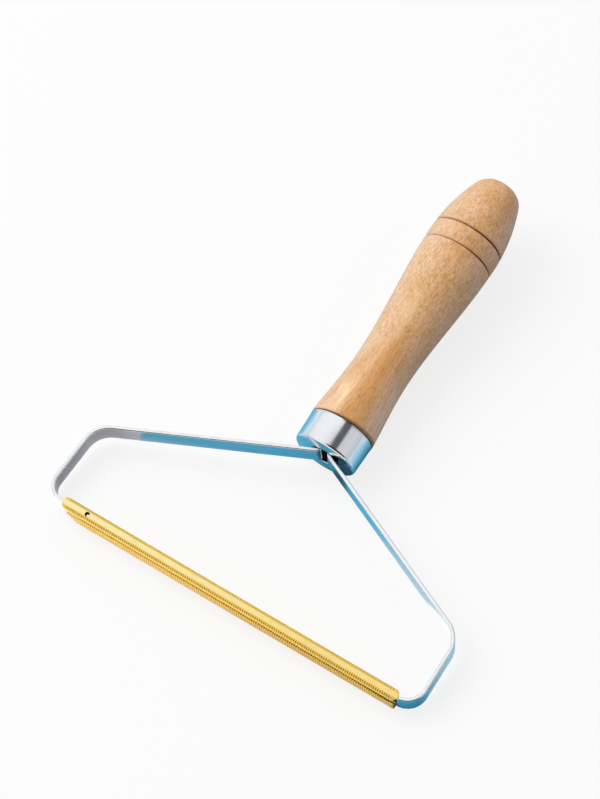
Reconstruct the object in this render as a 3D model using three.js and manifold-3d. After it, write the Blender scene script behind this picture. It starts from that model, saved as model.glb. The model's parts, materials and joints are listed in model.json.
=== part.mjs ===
// Hand scraper for pet hair and lint: a turned hardwood handle, a drawn steel ferrule, a frame
// bent from one flat steel strip, and a toothed brass head folded round the frame's front bar.
// Millimetres. The tool is drawn flat, with X along the head, Y from the head to the butt of the
// handle and Z square to the frame. At the end it is laid down on its head and its handle.

import * as THREE from 'three';
import { mergeVertices } from 'three/addons/utils/BufferGeometryUtils.js';
import Module from 'manifold-3d';

const wasm = await Module();
wasm.setup();

// Flat steel strip of the frame
const stripWidth = 8;
const stripThickness = 1.25;

// Heights of the frame's upper corners and of the point where its arms would meet, measured from
// the head, and how far the sides lean in. They belong to the strip's centre line with sharp bends.
const cornerRise = 26.7;
const apexRise = 57.15;
const sideLean = 1.5;

// Bends of the strip, measured on its centre line
const lowerBendRadius = 6.2;
const upperBendRadius = 9;
const neckBendRadius = 2;

// The two ends of the strip, side by side in the handle
const tangHalfPitch = 1.9;
const tangLength = 31;

// Brass head: one sheet folded into a sleeve round the frame's front bar, with a slit along its
// front. The flange above the slit leans in towards the bar, and the one below it stands upright.
// The head sits a little to the right of the frame's middle.
const headLength = 123.5;
const headShift = 0.45;
const headWall = 0.45;
const headShoulder = 0.9;
const headEndRadius = 1.9;
const headCornerRadius = 2.2;
const slitRise = 0.3;
const slitGap = 0.6;
const upperLipTuck = 0.55;

// Teeth: notches across the four shoulders and along the lower lip of the slit
const toothPitch = 0.78;
const toothNotchWidth = 0.5;
const toothNotchDepth = 0.28;
const lipNotchDepth = 0.5;
const plainEndLength = 2;

// Small round hole in the crest of the head, near its left end
const crestHoleDiameter = 1.6;
const crestHoleFromEnd = 9.2;

// Ferrule: a drawn cup with a hole for the tangs in its front face
const ferruleStandoff = 0.3;
const ferruleLength = 10.4;
const ferruleFrontRadius = 10.9;
const ferruleFlare = 0.3;
const ferruleWall = 0.5;
const ferruleFrontWall = 0.7;
const ferruleFrontEdgeRadius = 1;
const ferruleRearLipRadius = 0.25;

// Handle: shoulder behind the ferrule, waist, bulge and domed butt
const shoulderProud = 0.05;
const waistRadius = 9.5;
const bulgeRadius = 12.45;
const flareLength = 25;
const swellLength = 48.5;
const buttLength = 26;
const buttCornerRadius = 6.1;
const buttFlatRadius = 2.6;
const flareLeadLength = 7.5;
const flareLeadDrop = 0.4;
const waistLeadLength = 10;
const swellLeadLength = 16;

// Two burnt decoration grooves, one on each side of the bulge
const grooveSpacing = 6.9;
const grooveWidth = 0.9;
const grooveDepth = 0.45;

// Bore of the handle and the resin that holds the tangs in it
const boreTipDepth = 2;
const plugSetback = 6;
const plugBaseLength = 4;

// Clearances between pieces
const seatClearance = 0.3;
const tangClearance = 0.3;
const sleeveEdgeClearance = 0.35;
const sleeveSideClearance = 0.875;

// Fineness of round stretches
const roundSegments = 40;
const bendSegments = 5;
const profileSteps = 9;
const cornerSteps = 4;

// Sizes that follow from the driving ones
const lowerBendTurn = Math.PI / 2 + Math.atan(sideLean / cornerRise);
const footHalfSpan = headLength / 2 + lowerBendRadius * Math.tan(lowerBendTurn / 2);
const cornerHalfSpan = footHalfSpan - sideLean;
const armSlope = (apexRise - cornerRise) / cornerHalfSpan;
const neckRise = apexRise - tangHalfPitch * armSlope;
const tangEnd = neckRise + tangLength;
const headHeight = stripWidth + 2 * (sleeveEdgeClearance + headWall);
const headDepth = stripThickness + 2 * (sleeveSideClearance + headWall);
const ferruleFront = neckRise + ferruleStandoff;
const ferruleRear = ferruleFront + ferruleLength;
const ferruleRearRadius = ferruleFrontRadius + ferruleFlare;
const ferruleInnerRadius = ferruleFrontRadius - ferruleWall;
const boreRadius = Math.hypot(tangHalfPitch + stripThickness / 2, stripWidth / 2) + tangClearance;
const spigotRadius = ferruleInnerRadius - seatClearance;
const spigotFront = ferruleFront + ferruleFrontWall + seatClearance;
const shoulder = ferruleRear + seatClearance;
const shoulderRadius = ferruleRearRadius + shoulderProud;
const waist = shoulder + flareLength;
const bulge = waist + swellLength;
const butt = bulge + buttLength;
const plugFront = spigotFront + plugSetback;
const plugEnd = tangEnd + tangClearance + plugBaseLength;
const boreEnd = plugEnd + seatClearance;

const hardwood = new THREE.MeshStandardMaterial({ color: 0xd2a06c, roughness: 0.55, metalness: 0 });
const polishedSteel = new THREE.MeshStandardMaterial({ color: 0xc8ccd1, roughness: 0.18, metalness: 1 });
const brass = new THREE.MeshStandardMaterial({ color: 0xe0b04c, roughness: 0.3, metalness: 1 });
const resin = new THREE.MeshStandardMaterial({ color: 0xd9c48f, roughness: 0.5, metalness: 0 });

const alongX = new THREE.Vector3(1, 0, 0);
const alongY = new THREE.Vector3(0, 1, 0);
const alongZ = new THREE.Vector3(0, 0, 1);

function solidFrom(geometry) {
  const bare = geometry.clone();
  bare.deleteAttribute('normal');
  bare.deleteAttribute('uv');
  const merged = mergeVertices(bare);
  const vertProperties = new Float32Array(merged.attributes.position.array);
  const triVerts = new Uint32Array(merged.index.array);
  return new wasm.Manifold(new wasm.Mesh({ numProp: 3, vertProperties, triVerts }));
}

function geometryFrom(solid) {
  const { vertProperties, triVerts } = solid.getMesh();
  const geometry = new THREE.BufferGeometry();
  geometry.setAttribute('position', new THREE.BufferAttribute(vertProperties, 3));
  geometry.setIndex(new THREE.BufferAttribute(triVerts, 1));
  geometry.computeVertexNormals();
  return geometry;
}

// An outline drawn in the plane of two directions and drawn out along the third
function prism(shape, length, across, up, base) {
  const geometry = new THREE.ExtrudeGeometry(shape, {
    depth: length,
    bevelEnabled: false,
    curveSegments: bendSegments,
  });
  const out = new THREE.Vector3().crossVectors(across, up);
  const placed = new THREE.Matrix4().makeBasis(across, up, out).setPosition(base);
  return geometry.applyMatrix4(placed);
}

function turned(profile) {
  return new THREE.LatheGeometry(profile, roundSegments);
}

function arcPoints(centreX, centreY, radius, from, to, steps) {
  return new THREE.EllipseCurve(centreX, centreY, radius, radius, from, to, from > to).getPoints(steps);
}

// Both sides of a strip that is bent at each inner corner of its centre line
function bentStripShape(corners, radii, thickness) {
  const half = thickness / 2;
  const runs = corners.slice(1).map((corner, i) => corner.clone().sub(corners[i]).normalize());
  const lefts = runs.map((run) => new THREE.Vector2(-run.y, run.x));
  const bends = radii.map((radius, i) => {
    const turn = Math.atan2(runs[i].cross(runs[i + 1]), runs[i].dot(runs[i + 1]));
    const side = Math.sign(turn);
    const start = corners[i + 1].clone().addScaledVector(runs[i], -radius * Math.tan(Math.abs(turn) / 2));
    const centre = start.clone().addScaledVector(lefts[i], side * radius);
    const from = lefts[i].clone().multiplyScalar(-side).angle();
    return { radius, side, centre, from, to: from + turn };
  });
  const first = corners[0];
  const last = corners[corners.length - 1];
  const lastLeft = lefts[lefts.length - 1];
  const shape = new THREE.Shape();
  shape.moveTo(first.x - half * lefts[0].x, first.y - half * lefts[0].y);
  shape.lineTo(first.x + half * lefts[0].x, first.y + half * lefts[0].y);
  for (const bend of bends) {
    const radius = bend.radius - bend.side * half;
    shape.absarc(bend.centre.x, bend.centre.y, radius, bend.from, bend.to, bend.side < 0);
  }
  shape.lineTo(last.x + half * lastLeft.x, last.y + half * lastLeft.y);
  shape.lineTo(last.x - half * lastLeft.x, last.y - half * lastLeft.y);
  for (const bend of bends.toReversed()) {
    const radius = bend.radius + bend.side * half;
    shape.absarc(bend.centre.x, bend.centre.y, radius, bend.to, bend.from, bend.side > 0);
  }
  return shape;
}

// One strip: down the left tang, round the frame and up the right tang
function frameGeometry() {
  const corners = [
    new THREE.Vector2(-tangHalfPitch, tangEnd),
    new THREE.Vector2(-tangHalfPitch, neckRise),
    new THREE.Vector2(-cornerHalfSpan, cornerRise),
    new THREE.Vector2(-footHalfSpan, 0),
    new THREE.Vector2(footHalfSpan, 0),
    new THREE.Vector2(cornerHalfSpan, cornerRise),
    new THREE.Vector2(tangHalfPitch, neckRise),
    new THREE.Vector2(tangHalfPitch, tangEnd),
  ];
  const side = [neckBendRadius, upperBendRadius, lowerBendRadius];
  const shape = bentStripShape(corners, [...side, ...side.toReversed()], stripThickness);
  return prism(shape, stripWidth, alongX, alongY, new THREE.Vector3(0, 0, -stripWidth / 2));
}

// Section of a sheet along an open line, with its wall on the left of the line
function sheetShape(line, wall) {
  const runs = line.slice(1).map((point, i) => point.clone().sub(line[i]).normalize());
  const lefts = runs.map((run) => new THREE.Vector2(-run.y, run.x));
  const inside = line.map((point, i) => {
    const before = lefts[Math.max(i - 1, 0)];
    const after = lefts[Math.min(i, lefts.length - 1)];
    const mean = before.clone().add(after);
    return point.clone().addScaledVector(mean, wall / (1 + before.dot(after)));
  });
  return new THREE.Shape([...line, ...inside.toReversed()]);
}

// Section of the folded head, from the lower lip round the bar to the upper lip: x towards the
// handle, y up
function sleeveShape() {
  const back = headDepth / 2;
  const top = headHeight / 2;
  const outside = [
    new THREE.Vector2(-back, slitRise - slitGap / 2),
    new THREE.Vector2(-back, -top + headShoulder),
    new THREE.Vector2(-back + headShoulder, -top),
    new THREE.Vector2(back - headShoulder, -top),
    new THREE.Vector2(back, -top + headShoulder),
    new THREE.Vector2(back, top - headShoulder),
    new THREE.Vector2(back - headShoulder, top),
    new THREE.Vector2(-back + headShoulder, top),
    new THREE.Vector2(-back, top - headShoulder),
    new THREE.Vector2(-back + upperLipTuck, slitRise + slitGap / 2),
  ];
  return sheetShape(outside, headWall);
}

// The head from above, with rounded ends
function headPlan() {
  const end = headLength / 2 - headEndRadius;
  const side = headDepth / 2 - headEndRadius;
  const shape = new THREE.Shape();
  shape.absarc(end, -side, headEndRadius, -Math.PI / 2, 0);
  shape.absarc(end, side, headEndRadius, 0, Math.PI / 2);
  shape.absarc(-end, side, headEndRadius, Math.PI / 2, Math.PI);
  shape.absarc(-end, -side, headEndRadius, Math.PI, Math.PI * 1.5);
  return shape;
}

// The head from the front, with rounded lower corners
function headFront() {
  const end = headLength / 2;
  const corner = end - headCornerRadius;
  const rise = headCornerRadius - headHeight / 2;
  const shape = new THREE.Shape();
  shape.moveTo(end, headHeight);
  shape.lineTo(-end, headHeight);
  shape.absarc(-corner, rise, headCornerRadius, Math.PI, Math.PI * 1.5);
  shape.absarc(corner, rise, headCornerRadius, -Math.PI / 2, 0);
  return shape;
}

const toothCount = Math.floor((headLength - 2 * plainEndLength) / toothPitch);
const toothRowStart = -(toothCount * toothPitch) / 2;

// Points of a row of notches: a peak at each end of a tooth and a valley in each notch
function zigzag(peak, valley) {
  const points = [new THREE.Vector2(toothRowStart, peak)];
  for (let i = 0; i < toothCount; i += 1) {
    const start = toothRowStart + i * toothPitch;
    points.push(new THREE.Vector2(start + toothPitch / 2, valley));
    points.push(new THREE.Vector2(start + toothPitch, peak));
  }
  return points;
}

// Cutter for the notches across one shoulder of the sleeve
function shoulderCutter(towardsHandle, towardsTop) {
  const outward = new THREE.Vector3(0, towardsHandle, towardsTop).normalize();
  const middle = new THREE.Vector3(
    0,
    (towardsHandle * (headDepth - headShoulder)) / 2,
    (towardsTop * (headHeight - headShoulder)) / 2,
  );
  const peak = toothNotchDepth * (toothPitch / toothNotchWidth - 1);
  const points = zigzag(peak, -toothNotchDepth);
  points.push(new THREE.Vector2(-toothRowStart, peak + headShoulder));
  points.push(new THREE.Vector2(toothRowStart, peak + headShoulder));
  const span = 2 * (headShoulder + 2 * toothNotchDepth);
  const along = new THREE.Vector3().crossVectors(alongX, outward);
  const base = middle.addScaledVector(along, -span / 2);
  return solidFrom(prism(new THREE.Shape(points), span, alongX, outward, base));
}

// Cutter for the notches along the lower lip. It ends half way between the two flanges.
function lipCutter() {
  const peak = lipNotchDepth * (toothPitch / toothNotchWidth - 1);
  const points = zigzag(peak, -lipNotchDepth);
  points.push(new THREE.Vector2(-toothRowStart, peak + slitGap / 4));
  points.push(new THREE.Vector2(toothRowStart, peak + slitGap / 4));
  const depth = (headWall + upperLipTuck) / 2;
  const inside = new THREE.Vector3(0, depth - headDepth / 2, slitRise - slitGap / 2);
  return solidFrom(prism(new THREE.Shape(points), 2 * depth, alongX, alongZ, inside));
}

function headGeometry() {
  const start = new THREE.Vector3(-headLength / 2, 0, 0);
  const below = new THREE.Vector3(0, 0, -headHeight);
  const behind = new THREE.Vector3(0, headDepth, 0);
  const hole = new THREE.CylinderGeometry(crestHoleDiameter / 2, crestHoleDiameter / 2, headHeight / 2);
  hole.rotateX(Math.PI / 2);
  hole.translate(crestHoleFromEnd - headLength / 2, 0, headHeight / 2);
  let head = solidFrom(prism(sleeveShape(), headLength, alongY, alongZ, start));
  head = head.intersect(solidFrom(prism(headPlan(), 2 * headHeight, alongX, alongY, below)));
  head = head.intersect(solidFrom(prism(headFront(), 2 * headDepth, alongX, alongZ, behind)));
  head = head.subtract(solidFrom(hole));
  head = head.subtract(lipCutter());
  for (const towardsHandle of [-1, 1]) {
    for (const towardsTop of [-1, 1]) {
      head = head.subtract(shoulderCutter(towardsHandle, towardsTop));
    }
  }
  return geometryFrom(head).translate(headShift, 0, 0);
}

// Cup section from the hole in its front face, round the outside, to the inside
function ferruleProfile() {
  const frontCentre = ferruleFrontRadius - ferruleFrontEdgeRadius;
  const lipCentre = ferruleRearRadius - ferruleRearLipRadius;
  const edge = ferruleFront + ferruleFrontEdgeRadius;
  return [
    new THREE.Vector2(boreRadius, ferruleFront),
    ...arcPoints(frontCentre, edge, ferruleFrontEdgeRadius, -Math.PI / 2, 0, cornerSteps),
    ...arcPoints(lipCentre, ferruleRear - ferruleRearLipRadius, ferruleRearLipRadius, 0, Math.PI / 2, cornerSteps),
    new THREE.Vector2(ferruleInnerRadius, ferruleRear),
    new THREE.Vector2(ferruleInnerRadius, ferruleFront + ferruleFrontWall),
    new THREE.Vector2(boreRadius, ferruleFront + ferruleFrontWall),
    new THREE.Vector2(boreRadius, ferruleFront),
  ];
}

function bezierPoints(x0, y0, x1, y1, x2, y2, x3, y3) {
  const points = [[x0, y0], [x1, y1], [x2, y2], [x3, y3]].map(([x, y]) => new THREE.Vector2(x, y));
  return new THREE.CubicBezierCurve(...points).getPoints(profileSteps);
}

function radiusAt(profile, along) {
  const next = profile.findIndex((point) => point.y >= along);
  const below = profile[next - 1];
  const above = profile[next];
  return below.x + ((above.x - below.x) * (along - below.y)) / (above.y - below.y);
}

// The profile with a V groove turned into it
function grooved(profile, along) {
  const front = along - grooveWidth / 2;
  const rear = along + grooveWidth / 2;
  return [
    ...profile.filter((point) => point.y < front),
    new THREE.Vector2(radiusAt(profile, front), front),
    new THREE.Vector2(radiusAt(profile, along) - grooveDepth, along),
    new THREE.Vector2(radiusAt(profile, rear), rear),
    ...profile.filter((point) => point.y > rear),
  ];
}

// Outside of the handle from its shoulder to its butt. The side of the butt is one arc that
// leaves the bulge level and runs into the rounded corner.
function gripProfile() {
  const cornerAlong = butt - buttCornerRadius;
  const reach = cornerAlong - bulge;
  const drop = bulgeRadius - buttFlatRadius;
  const sideRadius = (reach ** 2 + drop ** 2 - buttCornerRadius ** 2) / (2 * (drop - buttCornerRadius));
  const sideAngle = Math.asin(reach / (sideRadius - buttCornerRadius));
  const flare = bezierPoints(
    shoulderRadius, shoulder,
    shoulderRadius - flareLeadDrop, shoulder + flareLeadLength,
    waistRadius, waist - waistLeadLength,
    waistRadius, waist,
  );
  const swell = bezierPoints(
    waistRadius, waist,
    waistRadius, waist + swellLeadLength,
    bulgeRadius, bulge - swellLeadLength,
    bulgeRadius, bulge,
  );
  const side = arcPoints(bulgeRadius - sideRadius, bulge, sideRadius, 0, sideAngle, profileSteps);
  const corner = arcPoints(buttFlatRadius, cornerAlong, buttCornerRadius, sideAngle, Math.PI / 2, cornerSteps);
  const plain = [...flare, ...swell.slice(1), ...side.slice(1), ...corner.slice(1)];
  return grooved(grooved(plain, bulge - grooveSpacing / 2), bulge + grooveSpacing / 2);
}

function handleGeometry() {
  const profile = [
    new THREE.Vector2(0, boreEnd + boreTipDepth),
    new THREE.Vector2(boreRadius, boreEnd),
    new THREE.Vector2(boreRadius, spigotFront),
    new THREE.Vector2(spigotRadius, spigotFront),
    new THREE.Vector2(spigotRadius, shoulder),
    ...gripProfile(),
    new THREE.Vector2(0, butt),
  ];
  return turned(profile);
}

// Cured resin round both tangs: a round plug with a slot for each
function plugGeometry() {
  const plugRadius = boreRadius - seatClearance;
  let plug = solidFrom(turned([
    new THREE.Vector2(0, plugFront),
    new THREE.Vector2(plugRadius, plugFront),
    new THREE.Vector2(plugRadius, plugEnd),
    new THREE.Vector2(0, plugEnd),
  ]));
  const slotWidth = stripThickness + 2 * tangClearance;
  const slotHeight = stripWidth + 2 * tangClearance;
  const slotLength = tangEnd + tangClearance - ferruleFront;
  for (const side of [-1, 1]) {
    const slot = new THREE.BoxGeometry(slotWidth, slotLength, slotHeight);
    slot.translate(side * tangHalfPitch, ferruleFront + slotLength / 2, 0);
    plug = plug.subtract(solidFrom(slot));
  }
  return geometryFrom(plug);
}

function piece(name, geometry, material) {
  const mesh = new THREE.Mesh(geometry, material);
  mesh.name = name;
  return mesh;
}

const tool = new THREE.Group();
tool.add(piece('wooden_handle', handleGeometry(), hardwood));
tool.add(piece('ferrule', turned(ferruleProfile()), polishedSteel));
tool.add(piece('steel_frame', frameGeometry(), polishedSteel));
tool.add(piece('brass_head', headGeometry(), brass));
tool.add(piece('tang_resin_plug', plugGeometry(), resin));

// Laid down, the tool touches the ground with the lower front edge of its head and with the
// first ring of the ferrule or handle that comes down
const restEdge = headShoulder - headDepth / 2;
const rings = [...ferruleProfile(), ...gripProfile()];
const restAngles = rings.map((ring) => Math.atan2(ring.x - headHeight / 2, ring.y - restEdge));
tool.rotation.x = Math.max(...restAngles);
tool.updateMatrixWorld(true);

const ground = new THREE.Box3().setFromObject(tool, true);
const middle = ground.getCenter(new THREE.Vector3());
tool.position.set(-middle.x, -middle.y, -ground.min.z);

const scraper = new THREE.Group();
scraper.add(tool);
scraper.updateMatrixWorld(true);

export default scraper;
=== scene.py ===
# %% [markdown]
# # A pet hair scraper
# The real tool has four parts that show: a turned wooden handle, a polished steel ferrule, a frame bent
# from one flat steel strip, and a toothed brass head folded round the frame's front bar. The CAD solids
# give every size and place. This lesson models each part again with finer edges and gives it a finish.

import json
import math

import bmesh
import bpy
from mathutils import Matrix, Vector


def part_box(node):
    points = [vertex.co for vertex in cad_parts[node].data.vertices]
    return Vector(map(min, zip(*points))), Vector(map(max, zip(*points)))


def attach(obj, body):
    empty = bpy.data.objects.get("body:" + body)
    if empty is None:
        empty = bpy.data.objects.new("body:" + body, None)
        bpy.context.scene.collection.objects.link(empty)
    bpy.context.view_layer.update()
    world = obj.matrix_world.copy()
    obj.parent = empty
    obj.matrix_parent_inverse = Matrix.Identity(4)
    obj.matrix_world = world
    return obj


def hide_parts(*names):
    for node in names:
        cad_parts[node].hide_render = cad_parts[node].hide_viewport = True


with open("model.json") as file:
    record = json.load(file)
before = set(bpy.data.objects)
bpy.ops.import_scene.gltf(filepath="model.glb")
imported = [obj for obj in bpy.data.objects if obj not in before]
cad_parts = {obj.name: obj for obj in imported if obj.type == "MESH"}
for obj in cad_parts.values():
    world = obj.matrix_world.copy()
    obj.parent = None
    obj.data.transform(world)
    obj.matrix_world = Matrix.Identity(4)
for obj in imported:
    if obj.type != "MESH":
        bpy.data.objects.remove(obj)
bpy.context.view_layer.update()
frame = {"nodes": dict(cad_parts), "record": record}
mm = 0.001

# %% [markdown]
# The tool is easiest to draw flat, as on a drawing board: X runs along the head, Y from the head to the
# butt of the handle, and Z up out of the board. Lying on a table, the tool rests on its head and its
# ferrule, a few degrees from flat. The record's mount on the butt tells both the tilt and the place, so
# one matrix takes each finished drawing to where its CAD node is.

# %% From the drawing board to the table
butt_mount = next(mount for mount in frame["record"]["mounts"] if mount["name"] == "butt_face")
handle_axis = Vector(butt_mount["axis"])
tilt = math.atan2(handle_axis.z, handle_axis.y)
butt = 166.784 * mm
on_table = Matrix.Rotation(tilt, 4, "X")
on_table.translation = Vector(butt_mount["pos_m"]) - handle_axis * butt
print("tilt in degrees:", round(math.degrees(tilt), 3), "place in mm:", on_table.translation / mm)


def select_only(piece):
    """Leaves just this piece selected and active, in object mode."""
    if bpy.context.object and bpy.context.object.mode != "OBJECT":
        bpy.ops.object.mode_set(mode="OBJECT")
    bpy.ops.object.select_all(action="DESELECT")
    piece.select_set(True)
    bpy.context.view_layer.objects.active = piece


def hand_over(piece, node, finish):
    """Lays a drawn piece down on the table, and lets it stand for its CAD node in this finish."""
    select_only(piece)
    piece.matrix_world = on_table
    bpy.ops.object.transform_apply(location=True, rotation=True, scale=True)
    piece.data.materials.clear()
    piece.data.materials.append(finish)
    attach(piece, "root")
    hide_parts(node)
    low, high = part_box(node)
    spills = []
    for axis in range(3):
        places = [vertex.co[axis] for vertex in piece.data.vertices]
        spills += [max(places) - high[axis], low[axis] - min(places)]
    past = round(max(spills) / mm, 3)
    print(piece.name, len(piece.data.polygons), "faces, at most", past, "mm past its box")


# %% [markdown]
# The camera comes first, because everything is compared through it. Its place and lens were fitted to the
# photo from the frame's straight runs, the strip's edges, the ferrule's rim and the handle's grooves. A
# long lens from about a metre away keeps the perspective gentle, as in a product photo.

# %% Camera
camera_place = (0.222422, -0.413913, 0.905928)
camera_turn = [math.radians(degrees) for degrees in (27.56206, -0.72739, 32.24538)]
bpy.ops.object.camera_add(location=camera_place, rotation=camera_turn)
camera = bpy.context.object
camera.name = "product_camera"
camera.data.lens = 142.567
camera.data.sensor_width = 36
camera.data.clip_start = 0.01
bpy.context.scene.camera = camera
print("camera stands", round(camera.location.length, 3), "m from the tool")

# %% [markdown]
# All four parts start as a drawn line: the handle and the ferrule are turned from a profile, the frame is a
# strip that follows a centre line, and the head is a folded section drawn out to its length. A Bezier curve
# draws straight runs and true arcs with few points, and converting it to a mesh gives the row of edges that
# the edit-mode tools then spin or extrude. A straight run between two vector handles stays one edge, so no
# points are wasted on it.


# %% A line of straight runs and arcs
class DrawnLine:
    """A line on the drawing board, in metres, that becomes a mesh of edges."""

    def __init__(self, *start):
        self.knots = [[Vector(start), None, None]]

    def straight(self, *ends):
        for end in ends:
            self.knots.append([Vector(end), None, None])
        return self

    def curve(self, leave, arrive, end):
        self.knots[-1][2] = Vector(leave)
        self.knots.append([Vector(end), Vector(arrive), None])
        return self

    def arc(self, centre, radius, start, end):
        """A turn about a centre between two angles in degrees, after a straight run up to its start."""
        start, end = math.radians(start), math.radians(end)
        lead = 4 / 3 * math.tan((end - start) / 4) * radius
        begin = Vector(centre) + radius * Vector((math.cos(start), math.sin(start)))
        finish = Vector(centre) + radius * Vector((math.cos(end), math.sin(end)))
        if (begin - self.knots[-1][0]).length > 1e-7:
            self.straight(begin)
        leave = begin + lead * Vector((-math.sin(start), math.cos(start)))
        arrive = finish - lead * Vector((-math.sin(end), math.cos(end)))
        return self.curve(leave, arrive, finish)

    def draw(self, name, steps, closed=False):
        """Adds the line as a curve, gives each bend that many steps, and makes it a mesh."""
        bpy.ops.object.select_all(action="DESELECT")
        bpy.ops.curve.primitive_bezier_curve_add()
        line = bpy.context.object
        line.name = name
        line.data.resolution_u = steps
        spline = line.data.splines[0]
        spline.resolution_u = steps
        spline.use_cyclic_u = closed
        spline.bezier_points.add(len(self.knots) - len(spline.bezier_points))
        for i, (point, (place, arrive, leave)) in enumerate(zip(spline.bezier_points, self.knots)):
            before = self.knots[i - 1][0]
            after = self.knots[(i + 1) % len(self.knots)][0]
            point.handle_left_type = "FREE" if arrive else "VECTOR"
            point.handle_right_type = "FREE" if leave else "VECTOR"
            point.co = place.to_3d()
            point.handle_left = (arrive or place.lerp(before, 1 / 3)).to_3d()
            point.handle_right = (leave or place.lerp(after, 1 / 3)).to_3d()
        bpy.ops.object.convert(target="MESH")
        return bpy.context.object


# %% [markdown]
# The finishes are shader nodes. Written as nodes only, a sum of two masks takes four lines, so one small
# class wraps a socket: arithmetic on it adds Math nodes, and its node method adds any other node from its
# type, its settings and its inputs.


# %% Shader maths as Python
class Shade:
    """An output in a node tree. Operators add Math nodes, and node() adds any other node."""

    def __init__(self, tree, socket=None):
        self.tree = tree
        self.socket = socket

    def node(self, kind, settings=None, inputs=None, output=0):
        made = self.tree.nodes.new(kind)
        for name, value in (settings or {}).items():
            if name == "stops":
                ramp = made.color_ramp.elements
                while len(ramp) < len(value):
                    ramp.new(1)
                for element, (position, colour) in zip(ramp, value):
                    element.position = position
                    element.color = (*colour, 1)
            else:
                setattr(made, name, value)
        for name, value in (inputs or {}).items():
            socket = made.inputs[name]
            if isinstance(value, Shade):
                self.tree.links.new(value.socket, socket)
            elif socket.type == "RGBA":
                socket.default_value = (*value, 1)
            else:
                socket.default_value = value
        return Shade(self.tree, made.outputs[output]) if made.outputs else made

    def math(self, operation, *values):
        return self.node("ShaderNodeMath", {"operation": operation}, dict(enumerate(values)))

    def __add__(self, other):
        return self.math("ADD", self, other)

    def __radd__(self, other):
        return self.math("ADD", other, self)

    def __sub__(self, other):
        return self.math("SUBTRACT", self, other)

    def __rsub__(self, other):
        return self.math("SUBTRACT", other, self)

    def __mul__(self, other):
        return self.math("MULTIPLY", self, other)

    def __rmul__(self, other):
        return self.math("MULTIPLY", other, self)

    def __truediv__(self, other):
        return self.math("DIVIDE", self, other)

    def __rtruediv__(self, other):
        return self.math("DIVIDE", other, self)

    def __abs__(self):
        return self.math("ABSOLUTE", self)

    def fade(self, low, high):
        """0 below low, 1 above high and smooth between them, or the other way round if low is higher."""
        return self.node(
            "ShaderNodeMapRange",
            {"interpolation_type": "SMOOTHSTEP"},
            {"Value": self, "From Min": low, "From Max": high},
        )

    def blend(self, first, second):
        """Two colours mixed by this mask: 0 gives the first and 1 the second."""
        return self.node("ShaderNodeMix", {"data_type": "RGBA"}, {0: self, 6: first, 7: second}, 2)

    def stretched(self, x, y, z):
        return self.node("ShaderNodeMapping", {}, {"Vector": self, "Scale": (x, y, z)})

    def noise(self, x, y, z, detail=2.0, roughness=0.5):
        """Noise between about 0 and 1 with that many lumps per millimetre along each direction."""
        return self.node(
            "ShaderNodeTexNoise",
            {},
            {"Vector": self.stretched(x, y, z), "Scale": 1.0, "Detail": detail, "Roughness": roughness},
        )

    def split(self):
        return [self.node("ShaderNodeSeparateXYZ", {}, {"Vector": self}, axis) for axis in "XYZ"]


# %% [markdown]
# Every finish starts the same way: an empty material, one Principled shader, and the place of each point as
# it was on the drawing board, in millimetres. So a pattern can be written with the sizes of the drawing, and
# it stays with its piece. Colours are written as a picture shows them, and turned into light values.


# %% A new finish
def linear(red, green, blue):
    """A colour as a picture shows it, 0 to 255, as the light value that a shader takes."""
    def channel(value):
        value /= 255
        return value / 12.92 if value <= 0.04045 else ((value + 0.055) / 1.055) ** 2.4
    return channel(red), channel(green), channel(blue)


def blank_material(name):
    """A material with an empty node tree, and a Shade that adds nodes to it."""
    material = bpy.data.materials.new(name)
    material.use_nodes = True
    material.node_tree.nodes.clear()
    return material, Shade(material.node_tree)


def new_finish(name):
    """A material with its shader, and the place on the drawing board in millimetres."""
    finish, paint = blank_material(name)
    surface = paint.tree.nodes.new("ShaderNodeBsdfPrincipled")
    paint.node("ShaderNodeOutputMaterial", {}, {"Surface": Shade(paint.tree, surface.outputs[0])})
    coordinates = paint.node("ShaderNodeTexCoord", {}, {}, "Object")
    flat = on_table.inverted()
    place = paint.node(
        "ShaderNodeMapping",
        {},
        {
            "Vector": coordinates,
            "Location": flat.translation / mm,
            "Rotation": (-tilt, 0, 0),
            "Scale": (1 / mm, 1 / mm, 1 / mm),
        },
    )
    return finish, paint, surface, place


def set_surface(paint, surface, **inputs):
    """Links or sets the shader's sockets. Underscores in a name stand for spaces."""
    for name, value in inputs.items():
        socket = surface.inputs[name.replace("_", " ")]
        if isinstance(value, Shade):
            paint.tree.links.new(value.socket, socket)
        else:
            socket.default_value = value


print("a grey of 188 in a picture is light of", round(linear(188, 188, 188)[0], 3))


# %% [markdown]
# The handle's wood is pale and fine, like beech or rubberwood, with a thin satin lacquer. A solid texture
# suits a turned piece, because the lathe cuts through whatever lies inside the block. Noise that is
# stretched along the handle gives fibres and grain lines, shorter noise gives flecks and pores, and slow
# noise gives clouds and patches. From here on, places in a finish are in millimetres.

# %% Grain of the wood
shoulder_along = 67.284
groove_alongs = (137.334, 144.234)
wood, paint, surface, place = new_finish("satin_hardwood")
across, along, up = place.split()
cloud = place.noise(0.07, 0.03, 0.07, 2)
wobble = place.noise(0.3, 0.05, 0.3, 2)
patch = place.noise(0.24, 0.1, 0.24, 3, 0.6)
fibre = place.noise(2.6, 0.09, 2.6, 3, 0.6)
fleck = place.noise(3.4, 0.65, 3.4, 2, 0.6)
grain_line = place.noise(2.2, 0.035, 2.2, 3, 0.65).fade(0.48, 0.66)
pore = place.noise(4.2, 0.4, 4.2, 1).fade(0.62, 0.74)
dark_fleck = fleck.fade(0.5, 0.64)
light_fleck = fleck.fade(0.5, 0.36)
ochre_patch = patch.fade(0.5, 0.62)
rosy_patch = patch.fade(0.5, 0.38)
print("grain of", len(wood.node_tree.nodes), "nodes")

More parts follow.
